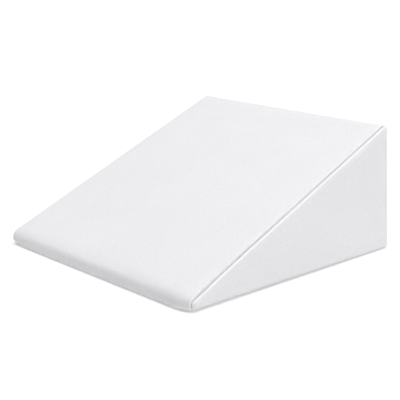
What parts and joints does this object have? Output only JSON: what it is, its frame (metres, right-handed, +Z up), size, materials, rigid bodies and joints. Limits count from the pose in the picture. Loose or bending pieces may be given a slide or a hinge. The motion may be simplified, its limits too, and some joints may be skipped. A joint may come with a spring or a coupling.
{
  "type": "wedge-shaped memory foam pillow",
  "caption": "Wedge-shaped foam bed pillow in a fitted white knit cover, with a flat base, a sloped face, a blunt rounded toe, a tall back and set-in side panels.",
  "frame": {"origin": "middle of the base, on the surface that the pillow lies on", "axes": "+Z up; +Y from the low toe to the tall back; +X across, to the side panel that the picture shows"},
  "size_m": [0.6098, 0.614, 0.2822],
  "materials": {
    "wrap_panel": "fine white padded knit, matt, smooth over the foam",
    "side_panel": "the same fine white padded knit, matt, its edge curled into the seam"
  },
  "bodies": {
    "root": {"wedge_cushion": "wrap_panel", "side_panel_right": "side_panel", "side_panel_left": "side_panel"}
  },
  "joints": []
}
